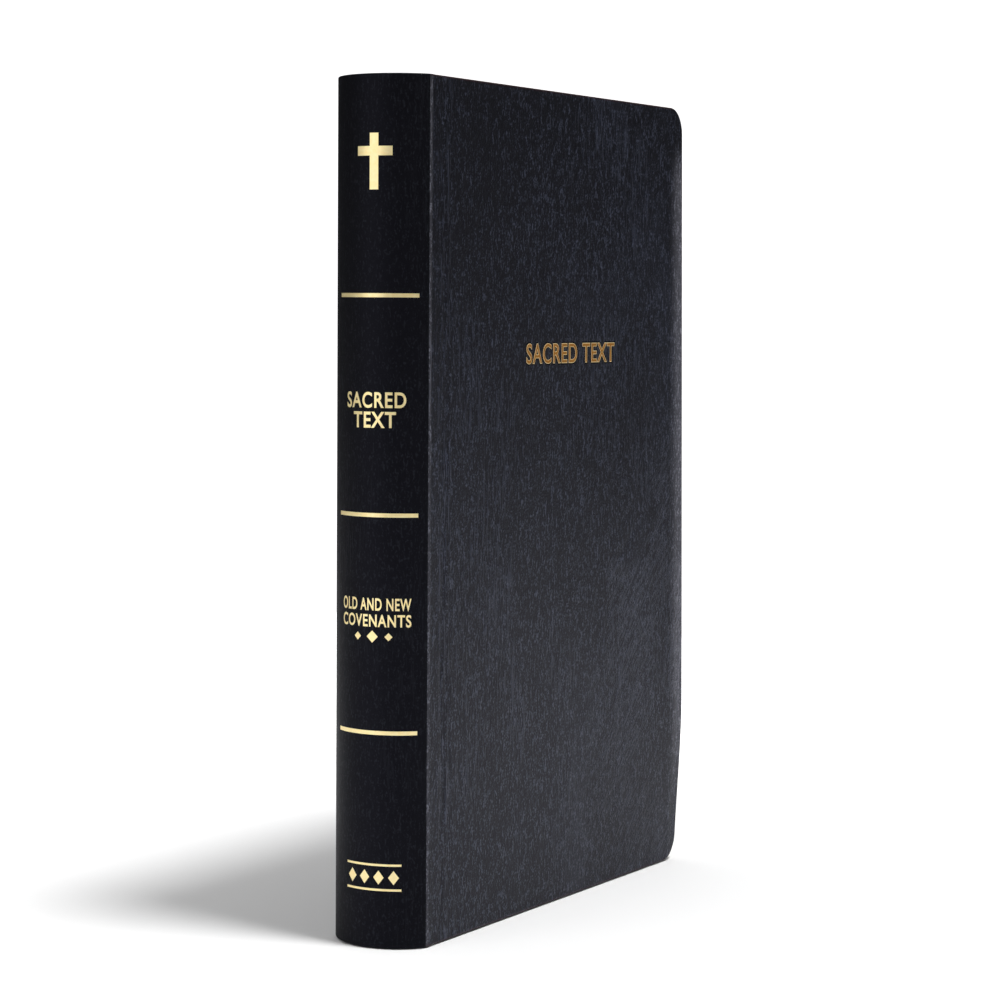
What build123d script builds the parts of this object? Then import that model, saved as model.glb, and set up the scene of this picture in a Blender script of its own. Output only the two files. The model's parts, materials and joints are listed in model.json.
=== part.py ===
"""A round-backed bible in a limp imitation-leather case, standing on its tail.

Frame, in millimetres: +Z runs from tail to head, the spine is on the -X side, the front cover
faces -Y, and the origin is at the bottom centre of the closed book.
"""

from build123d import *
from math import asin, cos, degrees, radians, sin, sqrt
import os

# Driving dimensions of the closed book
BOOK_HEIGHT = 213.4
BOOK_WIDTH = 142.0
BOOK_THICKNESS = 26.8
SPINE_RISE = 7.5  # the rounded spine stands this far out past the two joints
COVER_CORNER_RADIUS = 7.0
SQUARE = 2.5  # overhang of the covers past the page edges

# Sheet materials
LEATHER = 0.7
BOARD = 0.45
ENDPAPER = 0.15
SPINE_INLAY = 0.4
LINING_PAPER = 0.15
MULL = 0.2
ADHESIVE = 0.5
THREAD_DIAMETER = 0.4

# Page block: 18 sewn signatures of 64 pages
SIGNATURES = 18
SIGNATURE_PITCH = 1.32
LEAF_GAP = 0.03  # air between neighbouring signatures in the closed book
PAGE_CORNER_RADIUS = 6.0
SEWING_STATIONS = 7
SEWING_END_MARGIN = 14.0  # from the page edge to the outermost stitch
BAND_DIAMETER = 1.8  # head and tail bands
CORD_END_MARGIN = 0.9  # threads and bands stop this far inside the block's faces

# Opening, in degrees at the covers' limit: the leaves fan out behind each cover
COVER_OPEN = 175.0
FLYLEAF_OPEN = 158.0
FAN_STEP = 16.5
PIVOT_PLAY = 0.1
FLYLEAF_PIVOT_FROM_JOINT = 8.0

# Cover details
AXIS_OUTSIDE_COVER = 0.05
AXIS_FROM_JOINT = 0.2
COVER_GAP_AT_JOINT = 0.3
HINGE_WIDTH = 7.5  # limp leather between the joint and the board
PASTEDOWN_SET_BACK = 0.8  # from the joint
SOFT_FORE_EDGE = 5.0  # leather turned in with no board in it
SOFT_END_EDGE = 3.5  # the same along the head and the tail

# Gold rules on the spine
RULE_COUNT = 3
RULE_HEIGHT = 1.0
RULE_LENGTH = 23.2  # measured round the spine
RULE_OFFSET = 1.8  # round the spine, from its middle towards the front cover
RULE_DEPTH = 0.1
FOIL = 0.06

# Derived places
HALF_THICKNESS = BOOK_THICKNESS / 2
SPINE_X = -BOOK_WIDTH / 2
FORE_EDGE_X = BOOK_WIDTH / 2
JOINT_X = SPINE_X + SPINE_RISE
SPINE_RADIUS = (HALF_THICKNESS**2 + SPINE_RISE**2) / (2 * SPINE_RISE)
SPINE_CENTRE_X = SPINE_X + SPINE_RADIUS
INLAY_RADIUS = SPINE_RADIUS - LEATHER
LINING_RADIUS = INLAY_RADIUS - SPINE_INLAY
MULL_RADIUS = LINING_RADIUS - LINING_PAPER
ADHESIVE_RADIUS = MULL_RADIUS - MULL
FOLD_RADIUS = ADHESIVE_RADIUS - ADHESIVE  # the backs of the signatures lie on this arc

COVER_THICKNESS = LEATHER + BOARD + ENDPAPER
INNER_COVER_Y = HALF_THICKNESS - COVER_THICKNESS
BLOCK_HALF_THICKNESS = SIGNATURES * SIGNATURE_PITCH / 2
SIGNATURE_THICKNESS = SIGNATURE_PITCH - LEAF_GAP
PAGE_TAIL = SQUARE
PAGE_HEAD = BOOK_HEIGHT - SQUARE
PAGE_HEIGHT = PAGE_HEAD - PAGE_TAIL
OUTER_LEAF_EDGE_X = FORE_EDGE_X - SQUARE

COVER_AXIS_X = JOINT_X + AXIS_FROM_JOINT
COVER_AXIS_Y = HALF_THICKNESS + AXIS_OUTSIDE_COVER
SIGNATURES_PER_SIDE = SIGNATURES // 2
REACH = 2 * BOOK_WIDTH  # larger than the book, for cutting blocks


def slab(x_range, y_range, z_range, corner_radius=0.0):
    """A flat sheet across Y, with its two fore-edge corners rounded."""
    size = [high - low for low, high in (x_range, y_range, z_range)]
    centre = [(low + high) / 2 for low, high in (x_range, y_range, z_range)]
    sheet = Pos(*centre) * Box(*size)
    if corner_radius:
        corners = sheet.edges().filter_by(Axis.Y).group_by(Axis.X)[-1]
        sheet = fillet(corners, corner_radius)
    return sheet


def spine_layer(outer_radius, inner_radius, half_width, z_range, end_x=SPINE_CENTRE_X):
    """A curved sheet that follows the rounded back, between two radii about the spine's centre."""
    low, high = z_range
    height = high - low
    middle = Pos(SPINE_CENTRE_X, 0, (low + high) / 2)
    tube = middle * Cylinder(outer_radius, height) - middle * Cylinder(inner_radius, height)
    keep = slab((end_x - REACH, end_x), (-half_width, half_width), (low - 1, high + 1))
    return tube & keep


def spine_bead(path_radius, bead_radius, z):
    """A round cord bent along the spine's arc, at one height."""
    half_angle = degrees(asin((BLOCK_HALF_THICKNESS - CORD_END_MARGIN) / path_radius))
    section = Plane.XZ * Pos(path_radius, z) * Circle(bead_radius)
    about = Axis((0, 0, 0), (0, 0, 1))
    arc = revolve(section, about, revolution_arc=2 * half_angle)
    return Pos(SPINE_CENTRE_X, 0, 0) * Rot(0, 0, 180 - half_angle) * arc


def mirrored(part):
    """The same piece on the back-cover side."""
    return mirror(part, about=Plane.XZ)


# Where each leaf group turns, counted from the front cover: 0 is the flyleaf, 1 to 9 the signatures
def opening_angle(index):
    return FLYLEAF_OPEN - FAN_STEP * index


def front_face_y(index):
    """The cover-side face of a leaf group, as a distance from the book's middle."""
    if index == 0:
        return INNER_COVER_Y - LEAF_GAP
    return BLOCK_HALF_THICKNESS - SIGNATURE_PITCH * (index - 1)


def pivot_stagger(index):
    """How much deeper a leaf group must bend than its neighbour, so that the two never cross."""
    angle = radians(opening_angle(index))
    pitch = front_face_y(index - 1) - front_face_y(index)
    needed = pitch * (cos(radians(FAN_STEP)) - cos(angle)) / sin(angle)
    return max(needed, 0.0) + PIVOT_PLAY


def pivot_x(index):
    start = JOINT_X + FLYLEAF_PIVOT_FROM_JOINT
    return start + sum(pivot_stagger(i) for i in range(1, index + 1))


def fold_centre_x(index):
    """Centre of the rounded fold at the back of a signature."""
    middle_y = front_face_y(index) - SIGNATURE_PITCH / 2
    radius = FOLD_RADIUS - SIGNATURE_PITCH / 2
    return SPINE_CENTRE_X - sqrt(radius**2 - middle_y**2)


LEAF_LENGTH = OUTER_LEAF_EDGE_X - fold_centre_x(1)


def signature_y_range(index):
    outer = front_face_y(index) - LEAF_GAP / 2
    return (-outer, -outer + SIGNATURE_THICKNESS)


def signature_leaves(index):
    """The turning part of a signature, from its bend to the fore edge."""
    x_range = (pivot_x(index), fold_centre_x(index) + LEAF_LENGTH)
    return slab(x_range, signature_y_range(index), (PAGE_TAIL, PAGE_HEAD), PAGE_CORNER_RADIUS)


def signature_fold(index):
    """The sewn part of a signature, from its rounded fold to its bend."""
    y_low, y_high = signature_y_range(index)
    radius = SIGNATURE_THICKNESS / 2
    centre_x = fold_centre_x(index)
    flat = slab((centre_x, pivot_x(index) - PIVOT_PLAY), (y_low, y_high), (PAGE_TAIL, PAGE_HEAD))
    middle = Pos(centre_x, (y_low + y_high) / 2, (PAGE_TAIL + PAGE_HEAD) / 2)
    return flat + middle * Cylinder(radius, PAGE_HEIGHT)


def flyleaf():
    y_range = (-front_face_y(0), -front_face_y(0) + ENDPAPER)
    x_range = (pivot_x(0), OUTER_LEAF_EDGE_X)
    return slab(x_range, y_range, (PAGE_TAIL, PAGE_HEAD), PAGE_CORNER_RADIUS)


def flyleaf_stub():
    """The strip of endpaper that is tipped on to the first signature."""
    y_range = (-front_face_y(0), -front_face_y(0) + ENDPAPER)
    x_range = (fold_centre_x(1), pivot_x(0) - PIVOT_PLAY)
    return slab(x_range, y_range, (PAGE_TAIL, PAGE_HEAD))


def in_cover_pocket(start_x, depths):
    """A sheet that fills the pocket inside the turned-in edges, at depths from the outer face."""
    outer, inner = depths
    return slab(
        (start_x, FORE_EDGE_X - SOFT_FORE_EDGE),
        (-HALF_THICKNESS + outer, -HALF_THICKNESS + inner),
        (SOFT_END_EDGE, BOOK_HEIGHT - SOFT_END_EDGE),
        COVER_CORNER_RADIUS - SOFT_END_EDGE,
    )


def cover_leather():
    """Skin of the front cover, doubled where it is turned in round its three free edges."""
    skin = slab(
        (JOINT_X + COVER_GAP_AT_JOINT, FORE_EDGE_X),
        (-HALF_THICKNESS, -INNER_COVER_Y),
        (0, BOOK_HEIGHT),
        COVER_CORNER_RADIUS,
    )
    return skin - in_cover_pocket(JOINT_X, (LEATHER, COVER_THICKNESS))


def cover_board():
    return in_cover_pocket(JOINT_X + HINGE_WIDTH, (LEATHER, LEATHER + BOARD))


def pastedown():
    return in_cover_pocket(JOINT_X + PASTEDOWN_SET_BACK, (LEATHER + BOARD, COVER_THICKNESS))


def rule_band(outer_radius, inner_radius, z):
    """One short band round the spine, a little nearer the front cover than the back cover."""
    half_width = outer_radius * sin(RULE_LENGTH / 2 / SPINE_RADIUS)
    z_range = (z - RULE_HEIGHT / 2, z + RULE_HEIGHT / 2)
    band = spine_layer(outer_radius, inner_radius, half_width, z_range)
    return band.rotate(Axis((SPINE_CENTRE_X, 0, 0), (0, 0, 1)), degrees(RULE_OFFSET / SPINE_RADIUS))


RULE_HEIGHTS = [BOOK_HEIGHT * (i + 1) / (RULE_COUNT + 1) for i in range(RULE_COUNT)]


def spine_leather():
    """Skin of the rounded spine, with a shallow stamped channel for each gold rule."""
    skin = spine_layer(SPINE_RADIUS, INLAY_RADIUS, HALF_THICKNESS, (0, BOOK_HEIGHT), JOINT_X)
    for z in RULE_HEIGHTS:
        skin -= rule_band(SPINE_RADIUS, SPINE_RADIUS - RULE_DEPTH, z)
    return skin


def spine_rules():
    floor = SPINE_RADIUS - RULE_DEPTH
    return [rule_band(floor + FOIL, floor, z) for z in RULE_HEIGHTS]


def sewing_thread():
    """Runs of thread across the folds, one at each sewing station."""
    first = PAGE_TAIL + SEWING_END_MARGIN
    spacing = (PAGE_HEIGHT - 2 * SEWING_END_MARGIN) / (SEWING_STATIONS - 1)
    path_radius = FOLD_RADIUS + ADHESIVE / 2
    heights = [first + spacing * i for i in range(SEWING_STATIONS)]
    return [spine_bead(path_radius, THREAD_DIAMETER / 2, z) for z in heights]


def adhesive_layer(threads):
    layer = spine_layer(
        ADHESIVE_RADIUS, FOLD_RADIUS, BLOCK_HALF_THICKNESS, (PAGE_TAIL, PAGE_HEAD)
    )
    for thread in threads:
        layer -= thread
    return layer


def end_band(z):
    """A worked band that caps the signature folds at the head or the tail."""
    path_radius = FOLD_RADIUS - BAND_DIAMETER / 2
    return spine_bead(path_radius, BAND_DIAMETER / 2, z)


def build():
    """Every piece of the book, as node name to one solid or a list of solids."""
    threads = sewing_thread()
    inner_z = (PAGE_TAIL, PAGE_HEAD)
    pieces = {
        "spine_leather": spine_leather(),
        "spine_rules": spine_rules(),
        "spine_inlay": spine_layer(
            INLAY_RADIUS, LINING_RADIUS, INNER_COVER_Y, (LEATHER, BOOK_HEIGHT - LEATHER)
        ),
        "spine_lining_paper": spine_layer(
            LINING_RADIUS, MULL_RADIUS, BLOCK_HALF_THICKNESS, inner_z
        ),
        "spine_mull": spine_layer(MULL_RADIUS, ADHESIVE_RADIUS, BLOCK_HALF_THICKNESS, inner_z),
        "spine_adhesive": adhesive_layer(threads),
        "sewing_thread": threads,
        "head_band": end_band(PAGE_HEAD + BAND_DIAMETER / 2),
        "tail_band": end_band(PAGE_TAIL - BAND_DIAMETER / 2),
    }
    on_each_side = {
        "cover_leather": cover_leather(),
        "cover_board": cover_board(),
        "pastedown": pastedown(),
        "flyleaf": flyleaf(),
        "flyleaf_stub": flyleaf_stub(),
    }
    for name, piece in on_each_side.items():
        pieces["front_" + name] = piece
        pieces["back_" + name] = mirrored(piece)
    folds = []
    for index in range(1, SIGNATURES_PER_SIDE + 1):
        leaves = signature_leaves(index)
        pieces[f"signature_{index:02d}"] = leaves
        pieces[f"signature_{SIGNATURES + 1 - index:02d}"] = mirrored(leaves)
        fold = signature_fold(index)
        folds += [fold, mirrored(fold)]
    pieces["signature_folds"] = folds
    return pieces


if __name__ == "__main__":
    os.makedirs("parts", exist_ok=True)
    for node, piece in build().items():
        shape = Compound(children=piece) if isinstance(piece, list) else piece
        shape.label = node
        export_step(shape, f"parts/{node}.step")
    pivots = [round(pivot_x(i) - SPINE_X, 2) for i in range(SIGNATURES_PER_SIDE + 1)]
    print("cover axes, in mm: x", round(COVER_AXIS_X, 2), "y -/+", round(COVER_AXIS_Y, 2))
    print("leaf pivots, in mm from the spine:", pivots)
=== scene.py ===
# %% [markdown]
# # A round-backed bible in a limp case
# The book stands on its tail with the spine towards -X and the front cover facing -Y. The solid
# model settles every size and hinge. This script dresses it: leather, foil, paper and thread.
# Each piece is drawn in the place that the solid model gives. Only the stamping is placed here.

# %% Load the solid model
import json
from math import asin, ceil, cos, degrees, pi, radians, sin, sqrt

import bmesh
import bpy
import numpy as np
from mathutils import Matrix, Vector, noise


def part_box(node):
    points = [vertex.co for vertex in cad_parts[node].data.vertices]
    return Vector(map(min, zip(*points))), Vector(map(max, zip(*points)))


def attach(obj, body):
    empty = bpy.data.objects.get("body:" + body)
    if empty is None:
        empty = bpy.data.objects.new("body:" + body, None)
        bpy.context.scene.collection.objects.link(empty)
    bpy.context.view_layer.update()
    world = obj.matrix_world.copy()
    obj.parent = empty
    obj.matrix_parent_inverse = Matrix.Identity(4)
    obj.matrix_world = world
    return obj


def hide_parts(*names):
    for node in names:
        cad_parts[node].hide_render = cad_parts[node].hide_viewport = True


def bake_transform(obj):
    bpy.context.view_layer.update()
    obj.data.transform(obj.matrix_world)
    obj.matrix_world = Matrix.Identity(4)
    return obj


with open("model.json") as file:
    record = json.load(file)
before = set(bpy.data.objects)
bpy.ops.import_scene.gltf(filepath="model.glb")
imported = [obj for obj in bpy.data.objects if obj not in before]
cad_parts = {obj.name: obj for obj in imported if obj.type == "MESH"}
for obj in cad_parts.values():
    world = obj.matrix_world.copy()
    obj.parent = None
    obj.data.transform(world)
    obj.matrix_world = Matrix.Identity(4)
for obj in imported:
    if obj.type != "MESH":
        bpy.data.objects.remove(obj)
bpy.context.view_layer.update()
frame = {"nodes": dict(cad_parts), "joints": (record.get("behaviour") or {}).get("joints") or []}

# %% [markdown]
# ## Sizes
# A bookbinder thinks in millimetres, so the shapes are worked out in millimetres and scaled to
# metres as each mesh is made. The sizes below are read from the solids' own boxes. Only the
# corners' radii are typed in, because a box doesn't show them.

# %% Sizes from the solids
MM = 0.001


def box_mm(node):
    low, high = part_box(node)
    return np.array(low) / MM, np.array(high) / MM


spine_low, spine_high = box_mm("spine_leather")
inlay_low = box_mm("spine_inlay")[0]
cover_low, cover_high = box_mm("front_cover_leather")
pocket_low, pocket_high = box_mm("front_pastedown")
board_high = box_mm("front_cover_board")[1]
folds_low, folds_high = box_mm("signature_folds")

HEIGHT = spine_high[2]
HALF_THICKNESS = spine_high[1]
SPINE_X, JOINT_X = spine_low[0], spine_high[0]
FORE_EDGE_X = cover_high[0]
SPINE_RISE = JOINT_X - SPINE_X
SPINE_RADIUS = (HALF_THICKNESS**2 + SPINE_RISE**2) / (2 * SPINE_RISE)
SPINE_CENTRE_X = SPINE_X + SPINE_RADIUS
LEATHER = inlay_low[0] - SPINE_X
COVER_THICKNESS = cover_high[1] - cover_low[1]
PAGE_TAIL, PAGE_HEAD = folds_low[2], folds_high[2]
FOLD_RADIUS = SPINE_CENTRE_X - folds_low[0]
COVER_CORNER_RADIUS, PAGE_CORNER_RADIUS, POCKET_CORNER_RADIUS = 7.0, 6.0, 3.5
print("book, mm:", np.round((FORE_EDGE_X - SPINE_X, 2 * HALF_THICKNESS, HEIGHT), 2))
print("spine radius, mm:", round(SPINE_RADIUS, 2))

# %% [markdown]
# ## Small tools
# A flat sheet bent, stamped or rounded is the basic form here, so one helper closes two grids of
# points, an outer face and an inner face, into one solid skin. Every skin also carries its place
# before any bending, in millimetres, so that grain and print stay on it when the book opens.

# %% Mesh helpers
PLACE = "flat_place_mm"
# Flat places of the skins lie apart in the second axis, so that no two share their grain.
SPINE_GRAIN_AT, COVER_GRAIN_AT = 300.0, 100.0
SHARP_CORNER = radians(40.0)


def finish_mesh(name, mesh, material):
    """Puts a mesh in the scene as a piece, smooth with sharp corners, in its material and slot."""
    piece = bpy.data.objects.new(name, mesh)
    bpy.context.scene.collection.objects.link(piece)
    mesh.materials.clear()
    mesh.materials.append(material)
    mesh.shade_smooth()
    mesh.set_sharp_from_angle(angle=SHARP_CORNER)
    return piece


def points_of(mesh):
    return np.array([vertex.co[:] for vertex in mesh.vertices])


def store_place(mesh, places):
    attribute = mesh.attributes.get(PLACE) or mesh.attributes.new(PLACE, "FLOAT_VECTOR", "POINT")
    attribute.data.foreach_set("vector", np.asarray(places, np.float32).ravel())


def store_values(mesh, **values_by_name):
    for name, values in values_by_name.items():
        attribute = mesh.attributes.new(name, "FLOAT", "POINT")
        attribute.data.foreach_set("value", values.astype(np.float32))


def close_grids(outer, inner, places):
    """A closed mesh from two grids of points in millimetres, shape (rows, columns, 3)."""
    rows, columns, _ = outer.shape
    count = rows * columns
    index = np.arange(count).reshape(rows, columns)
    quads = np.stack(
        [index[:-1, :-1], index[:-1, 1:], index[1:, 1:], index[1:, :-1]], -1
    ).reshape(-1, 4)
    ring = np.concatenate(
        [index[0, :-1], index[:-1, -1], index[-1, :0:-1], index[:0:-1, 0]]
    )
    after = np.roll(ring, -1)
    wall = np.stack([ring, ring + count, after + count, after], -1)
    faces = np.concatenate([quads, quads[:, ::-1] + count, wall])
    points = np.concatenate([outer.reshape(-1, 3), inner.reshape(-1, 3)]) * MM
    mesh = bpy.data.meshes.new("skin")
    mesh.from_pydata(points.tolist(), [], faces.tolist())
    store_place(mesh, np.concatenate([places.reshape(-1, 3)] * 2))
    tidy_mesh(mesh)
    return mesh


def tidy_mesh(mesh, merge_mm=0.0005):
    """Merges doubled points, drops faces with no area and points every face outwards."""
    shape = bmesh.new()
    shape.from_mesh(mesh)
    bmesh.ops.remove_doubles(shape, verts=shape.verts, dist=merge_mm * MM)
    bmesh.ops.dissolve_degenerate(shape, dist=merge_mm * MM, edges=shape.edges)
    bmesh.ops.recalc_face_normals(shape, faces=shape.faces)
    shape.to_mesh(mesh)
    shape.free()


# %% [markdown]
# Every material and every Geometry Nodes tree is built node by node. One function adds any node
# with its settings and links. The others lay out the few groups of nodes that come back often: a
# calculation, a soft threshold, and a coat of colour with its relief.

# %% Node helpers


def add_node(tree, kind, settings=None, links=None):
    """Adds one node: settings are its own properties, links are its inputs' values or sources."""
    node = tree.nodes.new(kind)
    for name, value in (settings or {}).items():
        setattr(node, name, value)
    for key, value in (links or {}).items():
        if isinstance(value, bpy.types.NodeSocket):
            tree.links.new(value, node.inputs[key])
        else:
            node.inputs[key].default_value = value
    return node


def linear(hex_colour):
    """An sRGB hex colour as the linear numbers that the shaders use."""
    parts = [int(hex_colour[i : i + 2], 16) / 255 for i in (1, 3, 5)]
    return [c / 12.92 if c <= 0.04045 else ((c + 0.055) / 1.055) ** 2.4 for c in parts] + [1.0]


def start_material(name, **surface_values):
    """A new material with one Principled surface, whose fixed values are set on its sockets."""
    material = bpy.data.materials.new(name)
    material.use_nodes = True
    tree = material.node_tree
    tree.nodes.clear()
    surface = add_node(tree, "ShaderNodeBsdfPrincipled")
    for socket, value in surface_values.items():
        surface.inputs[socket.replace("_", " ")].default_value = value
    add_node(tree, "ShaderNodeOutputMaterial", links={"Surface": surface.outputs[0]})
    return material, tree, surface


def combine(tree, operation, first, *others):
    """Joins any number of values by one operation, as a row of nodes: a + b + c, or a * b * c."""
    for value in others:
        first = add_node(
            tree, "ShaderNodeMath", {"operation": operation}, {0: first, 1: value}
        ).outputs[0]
    return first


def above(tree, value, low, high, full=1.0):
    """0 up to low and full from high on, with a smooth rise between. It falls if high < low."""
    return add_node(
        tree, "ShaderNodeMapRange", {"interpolation_type": "SMOOTHSTEP"},
        {"Value": value, "From Min": low, "From Max": high, "To Max": full},
    ).outputs[0]


def coat(tree, surface, tone, dark, light, height, depth_mm, strength=1.0):
    """Colours a surface between two colours by a tone, and raises it by a height."""
    colour = add_node(
        tree, "ShaderNodeMix", {"data_type": "RGBA"},
        {"Factor": tone, "A": linear(dark), "B": linear(light)},
    ).outputs["Result"]
    bump = add_node(
        tree, "ShaderNodeBump",
        links={"Height": height, "Distance": depth_mm * MM, "Strength": strength},
    )
    tree.links.new(colour, surface.inputs["Base Color"])
    tree.links.new(bump.outputs[0], surface.inputs["Normal"])
    return colour


def cover_colour(tree, surface, under, amount, over):
    """Lays a second colour over the surface's colour, by an amount."""
    mixed = add_node(
        tree, "ShaderNodeMix", {"data_type": "RGBA"},
        {"Factor": amount, "A": under, "B": linear(over)},
    ).outputs["Result"]
    tree.links.new(mixed, surface.inputs["Base Color"])
    return mixed


# %% [markdown]
# ## Black imitation leather
# The case is covered in polyurethane-coated cloth, embossed with a grain before it is cut. It was
# drawn lengthwise over the boards, so the pebbles are stretched up and down and short creases run
# with them. The skin is dull: a low, broad sheen with no clear reflections. Layers of noise make
# it: dashes a millimetre long, pebbles of a quarter of a millimetre, creases at the hinge and
# where hands pull the cover, and a slow drift of tone. Each is stretched to its real size. The
# spine is pulled tighter, so its grain is shallower.


# %% Leather
LEAN_OF_PULLED_CREASES = radians(42.0)
# Where each zone of the cover begins and is complete, in millimetres across and up.
HINGE_RISE, HINGE_FALL = (-59.5, -57.5), (-52.0, -54.5)
HANDLED_ACROSS, HANDLED_UP = (8.0, 40.0), (140.0, 95.0)
# Painted shade: the cover's colour darkens towards the spine and towards the head.
PAINTED_SHADE_ACROSS, PAINTED_SHADE_UP = (30.0, -45.0), (90.0, 190.0)


def imitation_leather(name, dark, light, grain_depth_mm, sheen, painted_relief_contrast, roughest):
    material, tree, surface = start_material(
        name, Specular_IOR_Level=sheen, Specular_Tint=linear("#d9dcff")
    )
    place = add_node(tree, "ShaderNodeAttribute", {"attribute_name": PLACE}).outputs["Vector"]
    axes = add_node(tree, "ShaderNodeSeparateXYZ", links={"Vector": place}).outputs
    across, up = axes["X"], axes["Z"]

    def noise_at(size_x, size_z, detail, roughness, distortion=0.0, lean=0.0):
        """Noise whose features are about that wide and high, in mm, and lean to the fore edge."""
        leaning = add_node(
            tree, "ShaderNodeVectorRotate", {"rotation_type": "Y_AXIS"},
            {"Vector": place, "Angle": -lean},
        )
        scaled = add_node(
            tree, "ShaderNodeMapping", {"vector_type": "POINT"},
            {"Vector": leaning.outputs[0], "Scale": (0.5 / size_x, 0.5 / size_x, 0.5 / size_z)},
        )
        return add_node(
            tree, "ShaderNodeTexNoise",
            links={"Vector": scaled.outputs[0], "Scale": 1.0, "Detail": detail,
                   "Roughness": roughness, "Distortion": distortion},
        ).outputs[0]

    # The embossed grain: long dashes with small round pebbles among them.
    dashes = combine(tree, "MULTIPLY", noise_at(0.30, 0.95, 2.0, 0.55, 0.7), 0.6)
    pebbles = combine(tree, "MULTIPLY", noise_at(0.25, 0.30, 1.0, 0.5), 0.4)
    grain = combine(tree, "ADD", dashes, pebbles)

    # Upright creases stand thick on the hinge, and in patches on the cover.
    hinge = combine(
        tree, "MULTIPLY", above(tree, across, *HINGE_RISE), above(tree, across, *HINGE_FALL)
    )
    patches = combine(
        tree, "MULTIPLY", above(tree, noise_at(11.0, 17.0, 1.0, 0.5), 0.50, 0.62), 0.6
    )
    long_creases = above(tree, noise_at(0.38, 4.5, 2.0, 0.5, 1.1), 0.54, 0.66)
    upright = combine(
        tree, "MULTIPLY", long_creases, combine(tree, "MAXIMUM", patches, hinge)
    )

    # Fingers pull slanting creases into the lower half near the fore edge.
    pulled = above(
        tree, noise_at(0.26, 3.6, 2.0, 0.55, 1.1, LEAN_OF_PULLED_CREASES), 0.50, 0.66
    )
    fingered = above(tree, noise_at(9.0, 12.0, 1.0, 0.5), 0.38, 0.56)
    pulls = combine(
        tree, "MULTIPLY", pulled, fingered, above(tree, across, *HANDLED_ACROSS),
        above(tree, up, *HANDLED_UP), 0.65,
    )
    folds = combine(tree, "MULTIPLY", combine(tree, "MAXIMUM", upright, pulls), 0.8)
    ridge = combine(tree, "MAXIMUM", above(tree, grain, 0.50, 0.64), folds)

    # The tone drifts over a hand's breadth. It is also painted darker towards the spine and the
    # head:
    # painted shade, where less light falls on the cover.
    painted_shade = combine(
        tree, "MULTIPLY", above(tree, across, *PAINTED_SHADE_ACROSS), above(tree, up, *PAINTED_SHADE_UP), -0.16
    )
    drift = combine(tree, "MULTIPLY", noise_at(13.0, 24.0, 3.0, 0.55), 0.4)
    # Painted highlight and shade: the ridges of grain and creases are painted lighter and the
    # hollows between them darker.
    raised = combine(tree, "MULTIPLY", ridge, painted_relief_contrast)
    tone = combine(tree, "ADD", painted_shade, drift, raised, -0.20)
    skin = coat(
        tree, surface, tone, dark, light, combine(tree, "ADD", folds, grain), grain_depth_mm
    )

    # Painted highlight: a pale strip at the fore edge and along the joint, where the rolled edge and
    # the fold catch the light. It shows most on the ridges.
    rubbed = add_node(tree, "ShaderNodeAttribute", {"attribute_name": "rubbed"}).outputs["Fac"]
    wear = combine(tree, "ADD", combine(tree, "MULTIPLY", ridge, 0.75), 0.25)
    highlighted_skin = cover_colour(
        tree, surface, skin, combine(tree, "MULTIPLY", rubbed, wear), "#82828c"
    )
    rim = add_node(tree, "ShaderNodeAttribute", {"attribute_name": "cut_edge"}).outputs["Fac"]
    cover_colour(tree, surface, highlighted_skin, rim, "#2a130d")
    roughness = add_node(
        tree, "ShaderNodeMapRange",
        links={"Value": tone, "To Min": roughest, "To Max": roughest - 0.14},
    )
    tree.links.new(roughness.outputs[0], surface.inputs["Roughness"])
    return material


# %% [markdown]
# The covers show the grain most. The spine's is pulled nearly smooth. Round the front title, a
# near-black copy with flat grain is painted shadow: a fine dark line where the pressed edge is in
# shade.

# %% Three leathers
cover_leather = imitation_leather(
    "imitation_leather_cover", "#010102", "#454a5a", grain_depth_mm=0.24, sheen=0.31, painted_relief_contrast=0.72,
    roughest=0.54,
)
spine_leather = imitation_leather(
    "imitation_leather_spine", "#030304", "#202227", grain_depth_mm=0.05, sheen=0.13, painted_relief_contrast=0.5,
    roughest=0.56,
)
# Painted shadow: a near-black leather for the fine line round the front title's letters.
title_shadow_leather = imitation_leather(
    "imitation_leather_painted_shadow", "#020202", "#0c0a0a", grain_depth_mm=0.04, sheen=0.1,
    painted_relief_contrast=0.3, roughest=0.6,
)
print("leathers:", cover_leather.name, spine_leather.name, title_shadow_leather.name)

# %% [markdown]
# ## Gold foil
# Lettering and rules are stamped with a heated die through gold-coloured foil. The metal is a
# film on a grained skin, so its shine breaks up a little and the gold is paler where it is thin.

# %% Foil
WEAR_SIZE = 1.1  # millimetres between the thin places of a foil


def stamped_foil(name, thin, full, roughest, metallic):
    material, tree, surface = start_material(name, Metallic=metallic)
    place = add_node(tree, "ShaderNodeTexCoord").outputs["Object"]
    wear = add_node(
        tree, "ShaderNodeTexNoise",
        links={"Vector": place, "Scale": 1 / (WEAR_SIZE * MM), "Detail": 3.0, "Roughness": 0.6},
    )
    roughness = add_node(
        tree, "ShaderNodeMapRange",
        links={"Value": wear.outputs[0], "To Min": roughest - 0.2, "To Max": roughest},
    )
    tree.links.new(roughness.outputs[0], surface.inputs["Roughness"])
    coat(tree, surface, wear.outputs[0], full, thin, wear.outputs[0], 0.02, 0.5)
    return material


gold_foil = stamped_foil("gold_foil", "#fff4c8", "#f6da8a", roughest=0.5, metallic=0.6)
# Painted shade: a darker copy of the gold for the middle of the front title's strokes.
shaded_title_foil = stamped_foil("gold_foil_painted_shade", "#c4862c", "#8c5c16", roughest=0.6, metallic=0.6)
# Painted highlight: a pale, less metallic copy of the gold for the edge of each title stroke.
highlight_title_foil = stamped_foil(
    "gold_foil_painted_highlight", "#fff4cf", "#f3cf86", roughest=0.55, metallic=0.25
)
print("foils:", gold_foil.name, shaded_title_foil.name, highlight_title_foil.name)

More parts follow.
